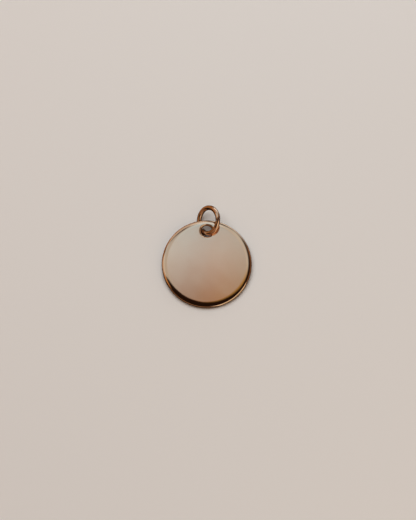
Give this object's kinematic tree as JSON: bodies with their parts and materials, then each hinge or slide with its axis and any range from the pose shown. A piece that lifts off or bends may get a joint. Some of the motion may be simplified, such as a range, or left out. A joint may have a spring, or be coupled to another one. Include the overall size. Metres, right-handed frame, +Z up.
{
  "type": "medallion charm",
  "caption": "Small blank round metal disc with softened edges, hung from a round-wire jump ring through a hole near its rim.",
  "frame": {"origin": "middle of the charm's box in plan, at the height of the surface that it lies on", "axes": "+Z up from the surface, +Y from the middle of the disc towards the hole and the jump ring, +X to the right seen from above"},
  "size_m": [0.015, 0.0172, 0.0038],
  "materials": {
    "disc_plate": "polished rose gold plate on brass",
    "ring_plate": "polished rose gold plate on brass wire"
  },
  "bodies": {
    "root": {"disc": "disc_plate", "jump_ring": "ring_plate"}
  },
  "joints": []
}
